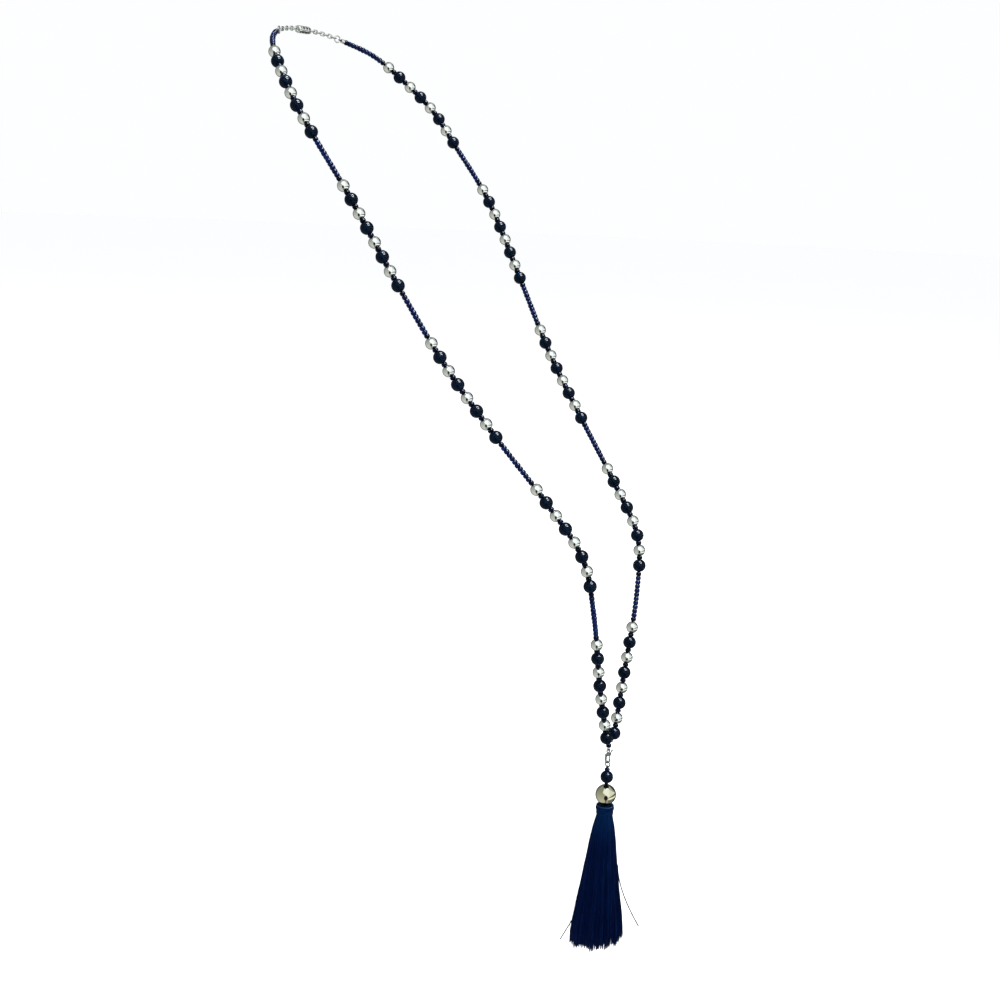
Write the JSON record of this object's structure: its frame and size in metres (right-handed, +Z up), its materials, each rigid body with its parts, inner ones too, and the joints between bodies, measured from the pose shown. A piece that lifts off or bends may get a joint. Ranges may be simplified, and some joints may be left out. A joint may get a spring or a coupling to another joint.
{
  "type": "tassel necklace",
  "caption": "Long beaded necklace in its worn shape: round stone and metal beads in groups between runs of seed beads, with a small front clasp that holds a bead and tassel drop.",
  "frame": {"origin": "middle of the back of the neck, on the strand's own line, where the necklace hangs", "axes": "+Z up, -Y the way the wearer faces, +X the wearer's left"},
  "size_m": [0.1306, 0.2105, 0.4472],
  "materials": {
    "thread": "fine twisted beading thread",
    "navy_stone": "polished near-black navy, opaque",
    "bright_metal": "mirror bright, slightly warm",
    "cobalt_seed": "glossy cobalt seed beads",
    "dark_seed": "glossy dark navy seed beads",
    "silver_finding": "bright silver plate",
    "tassel_silk": "navy silky floss with a soft sheen"
  },
  "bodies": {
    "strand": {"thread": "thread", "stone_beads": "navy_stone", "metal_beads": "bright_metal", "seed_runs": "cobalt_seed", "end_crimps": "silver_finding", "back_chain": "silver_finding", "back_clasp": "silver_finding", "join_seed_bead": "dark_seed", "front_clasp": "silver_finding"},
    "lever": {"clasp_lever": "silver_finding"},
    "ring": {"jump_ring": "silver_finding"},
    "drop": {"drop_thread": "thread", "drop_seed_beads": "dark_seed", "drop_stone_bead": "navy_stone", "drop_metal_bead": "bright_metal", "tassel": "tassel_silk"}
  },
  "joints": [
    {"name": "lever_hinge", "type": "hinge", "parent": "strand", "child": "lever", "pos_m": [0.00113, -0.19671, -0.34468], "axis": [0.342, 0.9397, 0], "range_deg": [0, 24], "stiffness_Nm_per_rad": 0.0005, "springref_deg": -11.46},
    {"name": "ring_swing", "type": "hinge", "parent": "strand", "child": "ring", "pos_m": [0, -0.1963, -0.3489], "axis": [0.9397, -0.342, 0], "range_deg": [-75, 75]},
    {"name": "drop_swing", "type": "hinge", "parent": "ring", "child": "drop", "pos_m": [0, -0.1963, -0.3511], "axis": [0.342, 0.9397, 0], "range_deg": [-90, 90]}
  ]
}
